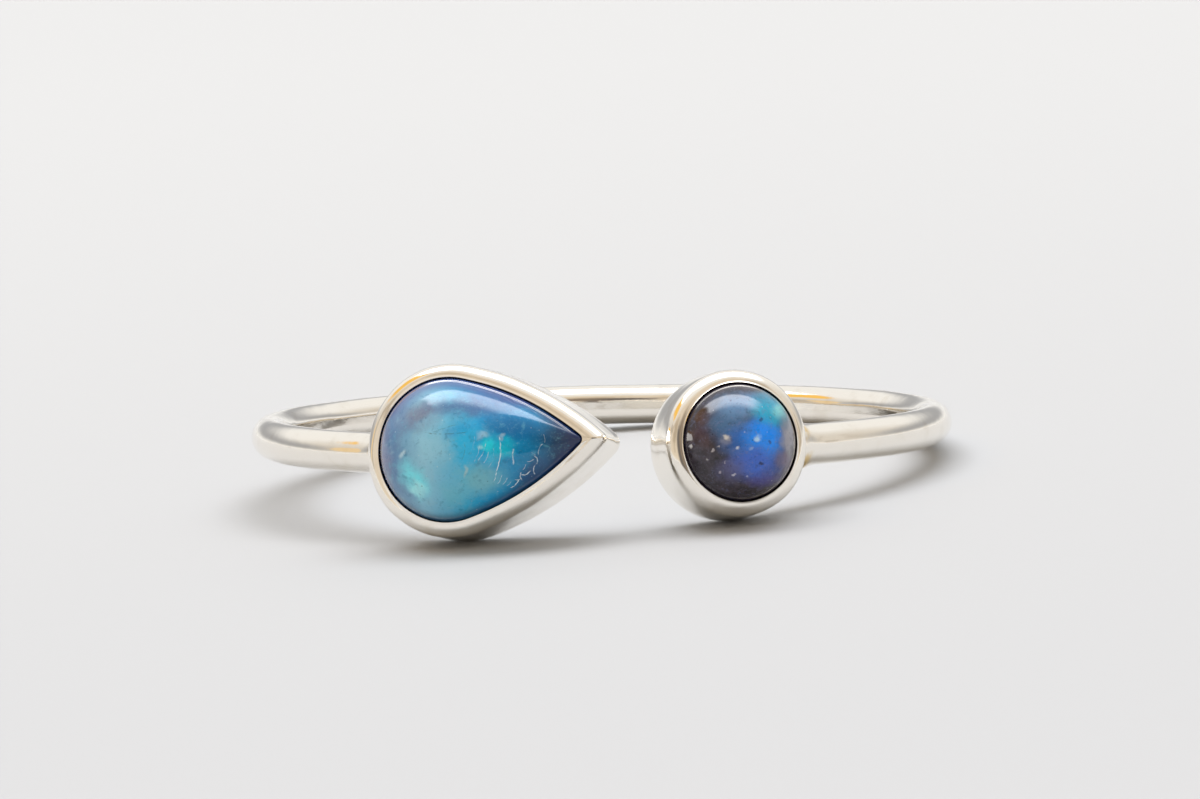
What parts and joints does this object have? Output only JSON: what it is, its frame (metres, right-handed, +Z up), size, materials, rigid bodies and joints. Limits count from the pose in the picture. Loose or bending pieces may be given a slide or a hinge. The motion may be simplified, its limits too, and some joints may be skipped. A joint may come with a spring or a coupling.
{
  "type": "stackable ring",
  "caption": "Open stacking ring of round polished silver wire, with a pear cabochon in a bezel cup at one end pointing across the gap at a round cabochon in a cup at the other.",
  "frame": {"origin": "on the surface that the ring lies on, below the middle of its bounding box", "axes": "+Z up from the surface, the opening between the two stones faces -Y, the pear stone is on the -X side and the round stone on the +X side"},
  "size_m": [0.0196, 0.0212, 0.005],
  "materials": {
    "silver": "polished sterling silver",
    "pear_gem": "polished translucent cabochon with a teal and blue flash",
    "round_gem": "polished dark cabochon with an electric blue flash"
  },
  "bodies": {
    "root": {"silver_frame": "silver", "pear_stone": "pear_gem", "round_stone": "round_gem"}
  },
  "joints": []
}
